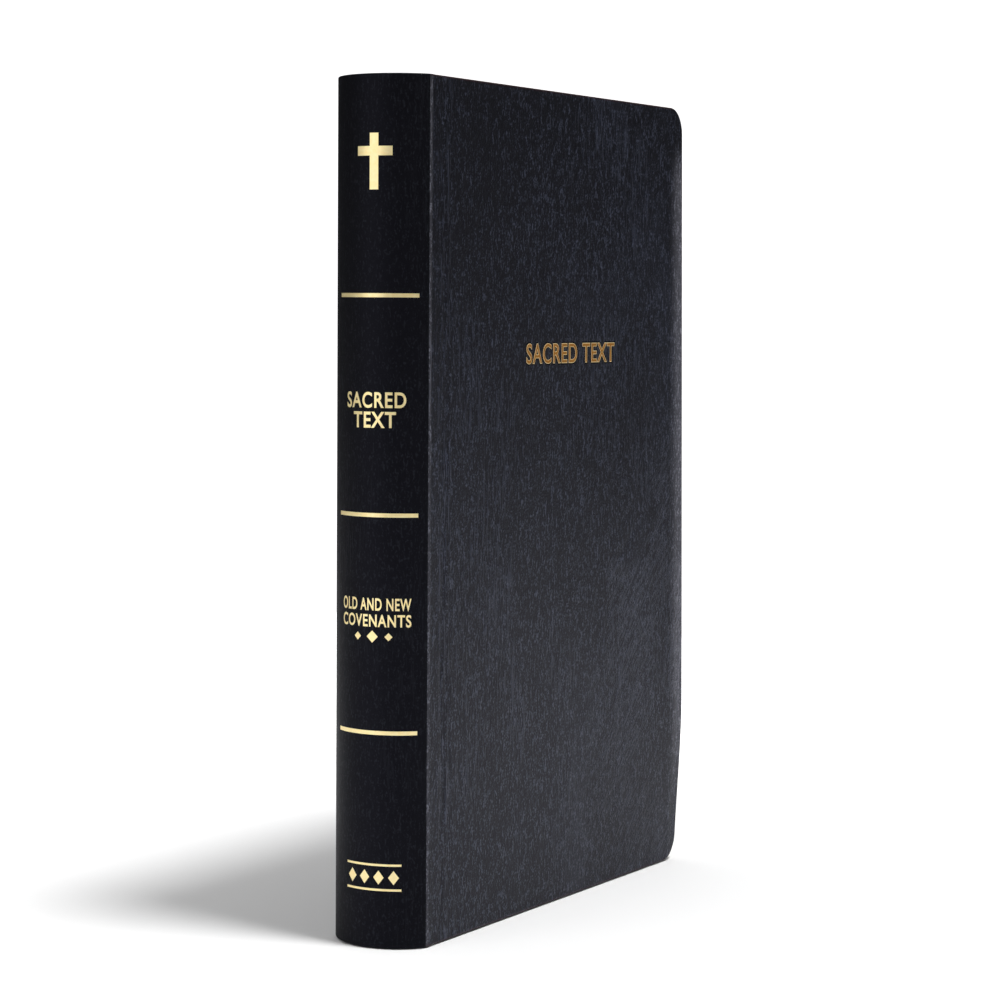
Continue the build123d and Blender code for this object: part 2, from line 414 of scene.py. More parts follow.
# %% [markdown]
# ## Paper, board, cloth and thread
# Bible paper is thin, opaque and a warm white, so that a thousand leaves close to an inch. The
# endpapers are a heavier smooth sheet. Kraft paper and grey board stiffen the spine and covers,
# and both show their fibres. Mull is an open cotton gauze, and the adhesive is a milky film.
# One function makes every fibrous sheet. Its fibre length and thickness are real ones.

# %% Fibrous sheets


def fibrous(name, dark, light, fibre_mm, depth_mm, roughness, specular=0.25):
    material, tree, surface = start_material(
        name, Roughness=roughness, Specular_IOR_Level=specular
    )
    place = add_node(tree, "ShaderNodeTexCoord").outputs["Object"]
    along = add_node(
        tree, "ShaderNodeMapping",
        links={"Vector": place, "Scale": (1 / MM, 1 / MM, 0.35 / MM)},
    )
    fibre = add_node(
        tree, "ShaderNodeTexNoise",
        links={"Vector": along.outputs[0], "Scale": 1 / fibre_mm, "Detail": 4.0,
               "Roughness": 0.65, "Distortion": 1.2},
    )
    cloud = add_node(
        tree, "ShaderNodeTexNoise",
        links={"Vector": along.outputs[0], "Scale": 0.12, "Detail": 2.0},
    )
    mixed = combine(tree, "MULTIPLY", fibre.outputs[0], cloud.outputs[0])
    tone = add_node(
        tree, "ShaderNodeMapRange", links={"Value": mixed, "From Min": 0.12, "From Max": 0.38}
    )
    coat(tree, surface, tone.outputs[0], dark, light, fibre.outputs[0], depth_mm, 0.8)
    return material


endpaper = fibrous("endpaper", "#e3ded0", "#efebdf", 0.5, 0.02, 0.8)
greyboard = fibrous("greyboard", "#7d786c", "#a09a8c", 0.6, 0.06, 0.9)
kraft_paper = fibrous("kraft_paper", "#8d6a45", "#b08a5e", 0.5, 0.04, 0.85)
adhesive_film = fibrous("adhesive_film", "#d9d2b8", "#e8e3cf", 1.5, 0.05, 0.45, 0.5)
print("sheets:", endpaper.name, greyboard.name, kraft_paper.name, adhesive_film.name)

# %% [markdown]
# Mull is woven wide apart, so its threads are laid out by two sets of waves, one along and one
# round the spine. Sewing thread and the bands' cotton are twisted, so their waves run slantwise.

# %% Woven and twisted cotton
WAVE_PER_PITCH = 0.314  # the wave node's scale for one wave a metre


def waves_material(name, dark, light, bands, depth_mm, roughness=0.8):
    """Threads as waves: bands is a list of (direction, pitch in mm, slant), which are combined."""
    material, tree, surface = start_material(name, Roughness=roughness, Specular_IOR_Level=0.2)
    surface.inputs["Sheen Weight"].default_value = 0.25
    place = add_node(tree, "ShaderNodeTexCoord").outputs["Object"]
    height = 0.0
    for direction, pitch_mm, slant in bands:
        turned = add_node(
            tree, "ShaderNodeMapping", links={"Vector": place, "Rotation": (slant, 0.0, 0.0)}
        )
        wave = add_node(
            tree, "ShaderNodeTexWave", {"bands_direction": direction},
            {"Vector": turned.outputs[0], "Scale": WAVE_PER_PITCH / (pitch_mm * MM),
             "Distortion": 0.6, "Detail": 1.0},
        )
        height = combine(tree, "MAXIMUM", wave.outputs["Fac"], height)
    thread = coat(tree, surface, height, dark, light, height, depth_mm)
    return material, tree, surface, thread


mull_gauze = waves_material(
    "mull_gauze", "#a39c88", "#e6e0cf", [("Z", 0.9, 0.0), ("Y", 0.9, 0.0)], 0.15
)[0]
linen_thread = waves_material("linen_thread", "#b9b09a", "#efe9da", [("Z", 0.35, 0.6)], 0.08)[0]
print("cottons:", mull_gauze.name, linen_thread.name)

# %% [markdown]
# ## Printed bible paper
# Each page is set in two columns of small type. Here the lines are only grey dashes with gaps
# like those between words: no letter is drawn. The print lies on the pages' faces alone, since
# its columns stop well short of the head, tail and fore edge, where the leaves' bare edges show.
# A leaf edge's tone differs a little from the next one's, which is how a stack shows its leaves.

# %% Bible paper
COLUMN_WIDTH, COLUMN_GAP, LINE_PITCH = 53.0, 5.0, 3.1
PRINT_LEFT = -50.0
PRINT_FOOT, PRINT_TOP = 16.0, 198.0
INK_STRENGTH = 0.5


def between(tree, value, low, high, soft):
    """1 where low < value < high, with soft ends."""
    return combine(
        tree, "MULTIPLY", above(tree, value, low - soft, low + soft),
        above(tree, value, high + soft, high - soft),
    )


def printed_paper():
    material, tree, surface = start_material(
        "bible_paper", Roughness=0.75, Specular_IOR_Level=0.2
    )
    place = add_node(tree, "ShaderNodeAttribute", {"attribute_name": PLACE}).outputs["Vector"]
    axes = add_node(tree, "ShaderNodeSeparateXYZ", links={"Vector": place})
    across, up = axes.outputs["X"], axes.outputs["Z"]

    lines_up = combine(tree, "MULTIPLY", up, 1 / LINE_PITCH)
    line = add_node(tree, "ShaderNodeMath", {"operation": "FRACT"}, {0: lines_up}).outputs[0]
    line_number = add_node(tree, "ShaderNodeMath", {"operation": "FLOOR"}, {0: lines_up})
    words_place = add_node(
        tree, "ShaderNodeCombineXYZ",
        links={"X": combine(tree, "MULTIPLY", across, 0.28), "Y": line_number.outputs[0]},
    )
    word = add_node(
        tree, "ShaderNodeTexNoise",
        links={"Vector": words_place.outputs[0], "Scale": 3.0, "Detail": 1.0},
    )
    columns = combine(tree, "ADD", *[
        between(tree, across, left, left + COLUMN_WIDTH, 0.1)
        for left in (PRINT_LEFT, PRINT_LEFT + COLUMN_WIDTH + COLUMN_GAP)
    ])
    ink = combine(
        tree, "MULTIPLY", between(tree, line, 0.34, 0.66, 0.06),
        between(tree, word.outputs[0], 0.43, 2.0, 0.02), columns,
        between(tree, up, PRINT_FOOT, PRINT_TOP, 0.3), INK_STRENGTH,
    )

    leaf = add_node(tree, "ShaderNodeAttribute", {"attribute_name": "leaf_tone"}).outputs["Fac"]
    cloud = add_node(
        tree, "ShaderNodeTexNoise", links={"Vector": place, "Scale": 0.5, "Detail": 4.0}
    )
    tone = combine(
        tree, "ADD", combine(tree, "MULTIPLY", cloud.outputs[0], 0.4),
        combine(tree, "MULTIPLY", leaf, 0.6),
    )
    fine = add_node(
        tree, "ShaderNodeTexNoise", links={"Vector": place, "Scale": 3.5, "Detail": 3.0}
    )
    paper = coat(tree, surface, tone, "#d9d0bb", "#f0eadc", fine.outputs[0], 0.015, 0.6)
    cover_colour(tree, surface, paper, ink, "#2b2926")
    return material


bible_paper = printed_paper()
print("lines to a page:", round((PRINT_TOP - PRINT_FOOT) / LINE_PITCH))

# %% [markdown]
# ## The fold between spine and cover
# The leather turns from the round back to the flat cover at the joint. It's a soft fold, not a
# sharp one, so the meeting point of the arc and the flat is eased by a short curve. The spine's
# skin stops halfway round that curve and the cover's skin starts there, with the same edge.

# %% Joint profile
JOINT_ANGLE = asin(HALF_THICKNESS / SPINE_RADIUS)
JOINT_EASE = 0.85


def on_spine(angle, radius):
    """A point of the round back: the angle is from its middle, and grows towards the front cover."""
    return np.stack(
        [SPINE_CENTRE_X - radius * np.cos(angle), -radius * np.sin(angle)], -1
    )


EASE_START = on_spine(JOINT_ANGLE - JOINT_EASE / SPINE_RADIUS, SPINE_RADIUS)
EASE_CORNER = np.array([JOINT_X, -HALF_THICKNESS])
EASE_END = EASE_CORNER + np.array([JOINT_EASE, 0.0])


def joint_curve(t):
    """Points and outward normals of the eased joint, front side, for t from 0 to 1."""
    t = np.asarray(t)[:, None]
    points = (1 - t) ** 2 * EASE_START + 2 * t * (1 - t) * EASE_CORNER + t**2 * EASE_END
    run = 2 * (1 - t) * (EASE_CORNER - EASE_START) + 2 * t * (EASE_END - EASE_CORNER)
    run /= np.linalg.norm(run, axis=1, keepdims=True)
    return points, np.stack([run[:, 1], -run[:, 0]], -1)


# Millimetres from an end at which a skin has a row of points: close together on a round edge.
FINE_STEPS = np.array([0, 0.04, 0.1, 0.2, 0.33, 0.5, 0.75, 1.1, 1.6, 2.4, 3.4, 4.6, 6, 7.5])
COARSE_STEP = 1.15


def edge_steps(length):
    """Places along a length, close together at both ends, where an edge is rounded."""
    last = FINE_STEPS[-1]
    middle = np.linspace(last, length - last, ceil((length - 2 * last) / COARSE_STEP) + 1)
    return np.concatenate([FINE_STEPS[:-1], middle, length - FINE_STEPS[:-1][::-1]])


def smooth_step(value, low, high):
    t = np.clip((value - low) / (high - low), 0.0, 1.0)
    return t * t * (3 - 2 * t)


def round_off(distance, radius):
    """How far a face drops near an edge that is a half circle of that radius."""
    inside = np.clip(radius - distance, 0.0, radius)
    return radius - np.sqrt(np.maximum(radius**2 - inside**2, 0.0))


print("joint angle, degrees:", round(degrees(JOINT_ANGLE), 1))

# %% [markdown]
# ## Spine leather
# One strip of leather, 0.7 mm thick, runs round the back. Its head and tail are turned over, so
# they are round. The three rules lie in shallow troughs that the hot die pressed.

# %% Spine skin
rules_low, rules_high = box_mm("spine_rules")
FOIL_RADIUS = SPINE_RADIUS - 0.04  # the solid rules lie in their troughs
RULE_FROM = asin(-rules_high[1] / FOIL_RADIUS)
RULE_TO = asin(-rules_low[1] / FOIL_RADIUS)
RULE_LEVELS = [HEIGHT / 4, HEIGHT / 2, 3 * HEIGHT / 4]
RULE_HALF_HEIGHT = RULE_LEVELS[0] - rules_low[2]
TROUGH_DEPTH, TROUGH_WALL = 0.1, 0.06


def spine_skin():
    levels = set(np.round(edge_steps(HEIGHT), 4))
    for level in RULE_LEVELS:
        levels = {z for z in levels if abs(z - level) > RULE_HALF_HEIGHT + 0.2}
        for side in (-1, 1):
            levels |= {level + side * (RULE_HALF_HEIGHT + step) for step in (0, TROUGH_WALL)}
    levels = np.array(sorted(levels))

    limit = JOINT_ANGLE - JOINT_EASE / SPINE_RADIUS
    wall = TROUGH_WALL / SPINE_RADIUS
    angles = np.concatenate([
        np.linspace(-limit, RULE_FROM - wall, 8), np.linspace(RULE_FROM, RULE_TO, 33),
        np.linspace(RULE_TO + wall, limit, 6),
    ])
    arc_points = on_spine(angles, SPINE_RADIUS)
    arc_normals = on_spine(angles, 1.0) - [SPINE_CENTRE_X, 0.0]
    ease_points, ease_normals = joint_curve(np.linspace(0, 0.5, 6)[1:])
    flip = np.array([1.0, -1.0])
    points = np.concatenate([ease_points[::-1] * flip, arc_points, ease_points])
    normals = np.concatenate([ease_normals[::-1] * flip, arc_normals, ease_normals])
    run = np.concatenate([[0], np.cumsum(np.linalg.norm(np.diff(points, axis=0), axis=1))])
    run -= run[-1] / 2

    trough = np.zeros((len(levels), len(points)))
    in_rule = (angles > RULE_FROM - wall / 2) & (angles < RULE_TO + wall / 2)
    beyond = np.zeros(len(ease_points))
    in_width = np.concatenate([beyond, in_rule, beyond])
    for level in RULE_LEVELS:
        offset = np.abs(levels - level)
        in_height = 1 - smooth_step(offset, RULE_HALF_HEIGHT + 1e-6, RULE_HALF_HEIGHT + TROUGH_WALL)
        trough += TROUGH_DEPTH * in_height[:, None] * in_width[None, :]

    edge = np.minimum(levels, HEIGHT - levels)
    drop = round_off(edge, LEATHER / 2)[:, None]
    out_depth = (drop + trough)[..., None] * normals[None]
    in_depth = (LEATHER - drop)[..., None] * normals[None]
    z = np.broadcast_to(levels[:, None, None], (len(levels), len(points), 1))
    outer = np.concatenate([points[None] - out_depth, z], -1)
    inner = np.concatenate([points[None] - in_depth, z], -1)
    places = np.stack(
        [np.broadcast_to(run, z.shape[:2]), np.full(z.shape[:2], SPINE_GRAIN_AT), z[..., 0]], -1
    )
    mesh = close_grids(outer, inner, places)
    return finish_mesh("spine_leather_skin", mesh, spine_leather)


spine_piece = spine_skin()
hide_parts("spine_leather")
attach(spine_piece, "book_spine")
print("spine skin faces:", len(spine_piece.data.polygons))

# %% [markdown]
# ## Lettering and ornament
# The letters are bold plain capitals. The font that comes with Blender is thickened for them, and
# each word is set to a stated width and height. An ornament is drawn from a few straight sides.
# All of it is cut out as flat solid foil, then sliced finely and laid round the back's curve.

# %% Foil shapes
FOIL_THICKNESS = 0.06
FOIL_PROUD = 0.012
ARTWORK_OFFSET = 2.0  # round the spine, from its middle towards the front cover
SLICE_WIDTH = 0.6  # a foil shape is cut this finely, so that it can bend
WIDEST_ORNAMENT = 30.0
UNIT_SHAPE_MERGE = 0.02  # thousandths of a shape that is one unit high


def word_mesh(text, weight):
    """A word as a solid mesh, centred, one unit wide and one high, facing up the third axis."""
    curve = bpy.data.curves.new("word", "FONT")
    curve.body = text
    curve.offset = weight
    curve.extrude = 0.5
    curve.space_character = 1.12
    curve.resolution_u = 6
    carrier = bpy.data.objects.new("word", curve)
    bpy.context.scene.collection.objects.link(carrier)
    bpy.context.view_layer.update()
    mesh = bpy.data.meshes.new_from_object(
        carrier.evaluated_get(bpy.context.evaluated_depsgraph_get())
    )
    bpy.data.objects.remove(carrier)
    points = points_of(mesh)
    low, high = points.min(0), points.max(0)
    points = (points - (low + high) / 2) / (high - low)
    mesh.vertices.foreach_set("co", points.ravel())
    tidy_mesh(mesh, UNIT_SHAPE_MERGE)
    return mesh


def outline_mesh(outlines):
    """Closed plane outlines as solids one unit thick, facing up the third axis."""
    shape = bmesh.new()
    for outline in outlines:
        base = [shape.verts.new((u, v, -0.5)) for u, v in outline]
        face = shape.faces.new(base)
        raised = bmesh.ops.extrude_face_region(shape, geom=[face])
        moved = [v for v in raised["geom"] if isinstance(v, bmesh.types.BMVert)]
        bmesh.ops.translate(shape, verts=moved, vec=(0, 0, 1))
    mesh = bpy.data.meshes.new("outline")
    shape.to_mesh(mesh)
    shape.free()
    tidy_mesh(mesh, UNIT_SHAPE_MERGE)
    return mesh


# %% [markdown]
# A flat shape bends only along its edges, so each one is first cut into narrow upright strips.
# Its points are then laid on the arc of the back, a hair above the leather.

# %% Laying foil on the back


def sliced(mesh, width):
    """Cuts a flat shape across at even steps, so that it can be bent smoothly."""
    shape = bmesh.new()
    shape.from_mesh(mesh)
    for place in np.arange(-width / 2 + SLICE_WIDTH, width / 2, SLICE_WIDTH):
        bmesh.ops.bisect_plane(
            shape, geom=shape.verts[:] + shape.edges[:] + shape.faces[:],
            plane_co=(place, 0, 0), plane_no=(1, 0, 0),
        )
    bmesh.ops.triangulate(shape, faces=shape.faces)
    shape.to_mesh(mesh)
    shape.free()


def stamp_on_spine(name, mesh, level, size=(1.0, 1.0)):
    """Lays a shape on the spine at a height, centred on its middle line, in the given size."""
    width, height = size
    mesh.vertices.foreach_set("co", (points_of(mesh) * [width, height, 1.0]).ravel())
    sliced(mesh, width * 1.2 if width > 1 else WIDEST_ORNAMENT)
    flat = points_of(mesh)
    radius = SPINE_RADIUS + FOIL_PROUD - FOIL_THICKNESS * (0.5 - flat[:, 2])
    around = on_spine((flat[:, 0] + ARTWORK_OFFSET) / SPINE_RADIUS, 1.0) - [SPINE_CENTRE_X, 0.0]
    points = np.column_stack(
        [SPINE_CENTRE_X + around[:, 0] * radius, around[:, 1] * radius, level + flat[:, 1]]
    )
    mesh.vertices.foreach_set("co", (points * MM).ravel())
    tidy_mesh(mesh)
    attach(finish_mesh(name, mesh, gold_foil), "book_spine")
    print(name, "faces:", len(mesh.polygons))


def rectangle(u0, v0, u1, v1):
    return [(u0, v0), (u1, v0), (u1, v1), (u0, v1)]


def diamond(u, v, half_width, half_height):
    return [(u, v - half_height), (u + half_width, v), (u, v + half_height), (u - half_width, v)]


# %% [markdown]
# ## Creases of the covers
# The leather is lined only with thin board, so it keeps the creases of handling. They run mostly
# up and down, close to the hinge, with a few slanting ones where the cover was gripped. Each
# crease is a narrow valley that wanders, with a soft end. Depths are tenths of a millimetre, so
# they're modelled in the skin's own points. The skin also swells a little, as limp board does.

# %% Crease field
TITLE_CENTRE = (7.3, 145.4)
TITLE_SIZE = (47.1, 5.3)
REST_DEPTH = 0.10  # a cover's skin lies this far inside its box, which leaves room for swells
CREASE_REACH = 3.0  # points further than this from a crease's line aren't pressed in by it
CREASE_FADE = 6.0  # the soft end of a crease


def wander(s, number, seed):
    """How far a crease strays from its straight line, at a distance along it."""
    return 0.8 * noise.noise(Vector((number * 0.02 + seed * 7.3, s / 18.0, seed * 1.7)))


# Each crease: start (x, z) and end (x, z), width and depth, in millimetres.
CREASES = [
    ((-56.9, 3), (-56.6, 172), 0.7, 0.26), ((-55.2, 20), (-55.6, 150), 0.7, 0.20),
    ((-58.2, 60), (-58.0, 205), 0.45, 0.09), ((-54.0, 96), (-54.4, 168), 0.4, 0.09),
    ((-53.1, 8), (-53.3, 88), 0.4, 0.08), ((-37.8, 150), (-37.0, 137), 0.5, 0.12),
    ((17.5, 178), (20.0, 158), 0.5, 0.13), ((20.5, 172), (22.5, 148), 0.5, 0.12),
    ((24.5, 169), (25.5, 157), 0.4, 0.09), ((-25, 205), (-9, 189), 0.5, 0.13),
    ((-21, 207), (-3, 190), 0.5, 0.10), ((-30, 201), (-17, 186), 0.45, 0.09),
    ((24, 92), (44, 104), 0.6, 0.13), ((31, 87), (56, 106), 0.6, 0.14),
    ((38, 84), (66, 101), 0.55, 0.11), ((28, 98), (40, 110), 0.5, 0.10),
    ((-12, 130), (-10, 118), 0.45, 0.08), ((48, 60), (51, 36), 0.5, 0.08),
    ((-34, 60), (-33, 34), 0.45, 0.08), ((2, 44), (4, 22), 0.45, 0.08),
]


def crease_depth(x, z, seed):
    """How far, in millimetres, the outer face is pressed in by the creases that run near."""
    depth = np.zeros_like(x)
    for number, ((x0, z0), (x1, z1), width, deep) in enumerate(CREASES):
        length = sqrt((x1 - x0) ** 2 + (z1 - z0) ** 2)
        along = ((x - x0) * (x1 - x0) + (z - z0) * (z1 - z0)) / length
        aside = ((x - x0) * (z1 - z0) - (z - z0) * (x1 - x0)) / length
        near = (np.abs(aside) < CREASE_REACH) & (along > 0) & (along < length)
        for row, column in zip(*np.nonzero(near)):
            s = along[row, column]
            offset = aside[row, column] + wander(s, number, number + seed)
            end = min(1.0, s / CREASE_FADE, (length - s) / CREASE_FADE)
            fade = 0.65 + 0.7 * noise.noise(Vector((number + seed, s / 9.0, 0.5)))
            depth[row, column] += deep * end * fade * np.exp(-((offset / width) ** 2))
    return depth


def soft_swell(x, z, seed):
    """Broad, low unevenness of a cover that isn't quite flat."""
    values = [
        0.11 * noise.noise(Vector((a / 34.0, b / 48.0, seed)))
        + 0.035 * noise.noise(Vector((a / 5.0, b / 11.0, seed + 4.0)))
        for a, b in zip(x.ravel(), z.ravel())
    ]
    return np.array(values).reshape(x.shape)


# %% [markdown]
# ## The bow of a limp cover
# A limp cover doesn't lie quite flat on its pages. It bows outwards towards the fore edge, most
# of all a hand's breadth above the tail, where it's held. Its board and pastedown bow with it.

# %% Bow
FRONT, BACK = -1, 1  # the side of the book on which a cover lies, along Y
BOW = {FRONT: 2.0, BACK: 0.7}
BOW_START_X, BOW_TAIL_Z, BOW_PEAK_Z = -20.0, -4.0, 46.0


def bow_out(x, z, side):
    """How far a point of a cover stands out from its flat place."""
    towards_fore_edge = np.clip((x - BOW_START_X) / (FORE_EDGE_X - BOW_START_X), 0, 1) ** 2
    above_tail = smooth_step(z, BOW_TAIL_Z, BOW_PEAK_Z)
    below_head = 1 - np.clip((z - BOW_PEAK_Z) / (HEIGHT - BOW_PEAK_Z), 0, 1)
    return BOW[side] * towards_fore_edge * above_tail * below_head


def bow_mesh(mesh, side):
    points = points_of(mesh) / MM
    points[:, 1] += side * bow_out(points[:, 0], points[:, 2], side)
    mesh.vertices.foreach_set("co", (points * MM).ravel())


# %% [markdown]
# ## Cover leather
# Each cover is leather 0.7 mm thick, turned in over the edges so that its rim is twice as thick.
# The board and the pastedown lie in the pocket inside the rim. There's no board in the last
# 5 mm at the fore edge, so that strip is softer, and rolls inwards a little.

# %% Outline of a cover
COVER_BEND = 7.5  # the limp leather between the joint and the board
RIM_DEPTH = COVER_THICKNESS - 0.04
SOFT_EDGE_START = board_high[0]
POCKET_TAIL, POCKET_HEAD = pocket_low[2], pocket_high[2]
FIXED_COLUMNS_END = 60.0  # past this, columns of points follow the round corners
EDGE_ZONE = 11.0
# Millimetres from the fore edge at which the skin has a column of points.
NEAR_FORE_EDGE = np.array([9.5, 8, 6.5, 5.6, 5.05, 4.95, 4.3, 3.4, 2.5, 1.7, 1.1, 0.75, 0.5, 0.33,
                           0.2, 0.1, 0.04, 0.0])


def fore_edge_x(z):
    """Where the fore edge is at each height: straight, with corners that are round."""
    from_end = np.minimum(z, HEIGHT - z)
    inside = np.clip(COVER_CORNER_RADIUS - from_end, 0, COVER_CORNER_RADIUS)
    corner = COVER_CORNER_RADIUS - np.sqrt(COVER_CORNER_RADIUS**2 - inside**2)
    return FORE_EDGE_X - corner


def cover_grid():
    z = edge_steps(HEIGHT)
    ease_points, ease_normals = joint_curve(np.linspace(0.5, 1.0, 6))
    flat_x = np.arange(EASE_END[0] + 0.6, FIXED_COLUMNS_END, 0.62)
    x_fixed = np.concatenate([ease_points[:, 0], flat_x])
    span = fore_edge_x(z)[:, None] - FIXED_COLUMNS_END
    x_edge = FIXED_COLUMNS_END + span * (1 - NEAR_FORE_EDGE / EDGE_ZONE)[None, :]
    x = np.concatenate([np.broadcast_to(x_fixed, (len(z), len(x_fixed))), x_edge], 1)
    return x, np.broadcast_to(z[:, None], x.shape), ease_points, ease_normals


def edge_distance(x, z):
    """Distance from the cover's outline, head, tail and fore edge, with its round corners."""
    from_end = np.minimum(z, HEIGHT - z)
    from_fore = FORE_EDGE_X - x
    in_corner = (from_end < COVER_CORNER_RADIUS) & (from_fore < COVER_CORNER_RADIUS)
    corner = COVER_CORNER_RADIUS - np.hypot(
        COVER_CORNER_RADIUS - from_end, COVER_CORNER_RADIUS - from_fore
    )
    return np.maximum(np.where(in_corner, corner, np.minimum(from_end, from_fore)), 0.0)


# %% [markdown]
# The skin's faces are two height fields over one grid. The outer one rolls down at the fore edge,
# shows the end of the board as a faint ridge, and carries the creases. The inner one has the
# pocket. Round the title the die has pressed the skin flat. At the fore edge and along the joint a
# pale strip is painted highlight, where the rolled edge and the fold catch the light. The cut edge
# at head and tail is brown.

# %% Cover skins
EDGE_ROLL, BOARD_RIDGE, RIDGE_WIDTH = 0.22, 0.05, 0.5
# Half the pressed-flat panel round the title: where it begins to fade, and where it ends.
CALM_ACROSS, CALM_UP = (27, 33), (4, 8)
# Painted highlight: where the pale strips at the fore edge and the joint rise and fade, in mm.
HIGHLIGHT_TAIL, HIGHLIGHT_HEAD, HIGHLIGHT_SPREAD = (5.0, 45.0), (190.0, 206.0), 3.5
JOINT_HIGHLIGHT = (JOINT_X + 0.5, JOINT_X + 1.4)
CUT_EDGE = (0.15, 0.7)
POCKET_WALL = 0.05


def shade_edges(mesh, side):
    """Stores each point's flat place, the dark cut edge, and the painted highlight at fore edge and
    joint.
    """
    points = points_of(mesh) / MM
    places = points.copy()
    places[:, 1] = COVER_GRAIN_AT * side
    store_place(mesh, places)
    from_end = np.minimum(points[:, 2], HEIGHT - points[:, 2])
    dark = 0.9 * (1 - smooth_step(from_end, *CUT_EDGE))
    x, z = points[:, 0], points[:, 2]
    # Painted highlight: a pale strip at the fore edge, and one half as strong along the joint.
    strip = smooth_step(x, SOFT_EDGE_START - HIGHLIGHT_SPREAD, SOFT_EDGE_START + HIGHLIGHT_SPREAD)
    strip *= smooth_step(z, *HIGHLIGHT_TAIL) * (1 - smooth_step(z, *HIGHLIGHT_HEAD))
    strip += 0.5 * (1 - smooth_step(x, *JOINT_HIGHLIGHT))
    store_values(mesh, cut_edge=dark, rubbed=strip)


def cover_skin(name, side, seed):
    x, z, ease_points, ease_normals = cover_grid()
    joined = smooth_step(x, JOINT_X + 0.5, JOINT_X + 4.0)
    roll = EDGE_ROLL * smooth_step(x, SOFT_EDGE_START - 0.3, FORE_EDGE_X - 0.5)
    ridge = BOARD_RIDGE * np.exp(-(((x - SOFT_EDGE_START + 0.2) / RIDGE_WIDTH) ** 2))
    rim = LEATHER + (RIM_DEPTH - LEATHER) * joined
    distance = edge_distance(x, z)
    drop = round_off(distance, (rim - roll) / 2)

    title_x, title_z = TITLE_CENTRE
    on_title = (1 - smooth_step(np.abs(x - title_x), *CALM_ACROSS)) * (
        1 - smooth_step(np.abs(z - title_z), *CALM_UP)
    )
    free = joined * smooth_step(distance, 0.4, 2.5)
    uneven = crease_depth(x, z, seed) - soft_swell(x, z, seed) - ridge
    pressed = free * (REST_DEPTH + uneven * (1 - on_title * (side == FRONT)))
    out_y = HALF_THICKNESS - roll - drop - np.maximum(pressed, 0.0)

    in_pocket = (
        smooth_step(z, POCKET_TAIL - POCKET_WALL, POCKET_TAIL + POCKET_WALL)
        * (1 - smooth_step(z, POCKET_HEAD - POCKET_WALL, POCKET_HEAD + POCKET_WALL))
        * (1 - smooth_step(x, SOFT_EDGE_START - 0.02, SOFT_EDGE_START + 0.08))
    )
    in_y = HALF_THICKNESS - rim + drop + in_pocket * (rim - LEATHER)
    outer = np.stack([x, -out_y, z], -1)
    inner = np.stack([x, -in_y, z], -1)

    eased = len(ease_points)
    for column in range(eased):
        point, normal = ease_points[column], ease_normals[column]
        outer[:, column, :2] = point - drop[:, column, None] * normal
        inner[:, column, :2] = point - (LEATHER - drop[:, column, None]) * normal
    for grid in (outer, inner):
        grid[..., 1] *= -side
    mesh = close_grids(outer, inner, outer)
    shade_edges(mesh, side)
    bow_mesh(mesh, side)
    return finish_mesh(name, mesh, cover_leather)


def joint_place(joint):
    return Vector(next(j for j in frame["joints"] if j["name"] == joint)["pos_m"])


def bend_at(piece):
    """Bakes the piece's place into its points; the piece isn't bent here."""
    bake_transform(piece)


for cover, side, seed in (("front_cover", FRONT, 3.0), ("back_cover", BACK, 11.0)):
    skin = cover_skin(f"{cover}_leather_skin", side, seed)
    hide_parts(f"{cover}_leather")
    bend_at(skin)
    print(skin.name, "faces:", len(skin.data.polygons))

# %% [markdown]
# The spine carries a plain cross at the head, the title, a second title of two lines and a row
# of diamonds between two thin rules at the tail. They take the places that such marks have.

# %% Spine stamping
CROSS_LEVEL, CROSS_HEIGHT, CROSS_WIDTH, CROSS_ARM, BAR_FROM_TOP = 192.3, 13.6, 9.4, 2.3, 4.3
half_arm, half_width, half_height = CROSS_ARM / 2, CROSS_WIDTH / 2, CROSS_HEIGHT / 2
bar = half_height - BAR_FROM_TOP
right_half = [
    (half_arm, -half_height), (half_arm, bar - half_arm), (half_width, bar - half_arm),
    (half_width, bar + half_arm), (half_arm, bar + half_arm), (half_arm, half_height),
]
cross = right_half + [(-u, v) for u, v in reversed(right_half)]
stamp_on_spine("spine_foil_cross", outline_mesh([cross]), CROSS_LEVEL)

for text, level, size in (
    ("SACRED", 134.7, (16.6, 3.9)),
    ("TEXT", 129.9, (11.6, 3.9)),
    ("OLD AND NEW", 84.9, (19.6, 3.1)),
    ("COVENANTS", 80.9, (19.6, 3.1)),
):
    name = "spine_foil_" + text.lower().replace(" ", "_")
    stamp_on_spine(name, word_mesh(text, 0.024 if len(text) == 4 else 0.022), level, size)

stamp_on_spine(
    "spine_foil_small_ornament",
    outline_mesh([diamond(0, 0, 1.5, 1.5), diamond(-4.2, 0, 1.0, 1.0), diamond(4.2, 0, 1.0, 1.0)]),
    77.0,
)
TAIL_MARK_LEVEL, TAIL_MARK_WIDTH, TAIL_MARK_HEIGHT, THIN_RULE = 17.65, 15.3, 6.7, 0.55
half_width, half_height = TAIL_MARK_WIDTH / 2, TAIL_MARK_HEIGHT / 2
tail_mark = [
    rectangle(-half_width, half_height - THIN_RULE, half_width, half_height),
    rectangle(-half_width, -half_height, half_width, -half_height + THIN_RULE),
]
tail_mark += [diamond(u, 0, 1.35, 1.75) for u in np.linspace(-5.7, 5.7, 4)]
stamp_on_spine("spine_foil_tail_ornament", outline_mesh(tail_mark), TAIL_MARK_LEVEL)

# %% [markdown]
# The front title is pressed deeper than the spine's, so its edges catch light and throw shade. That
# is painted here: a near-black line round each letter is painted shadow, a pale lip at the edge of
# each stroke is painted highlight, and a darker gold in the middle is painted shade. So the title is
# three thin layers, each a little narrower than the last.
# They stand a few hundredths of a millimetre proud of the skin, so that nothing has to be cut.

# %% Front title


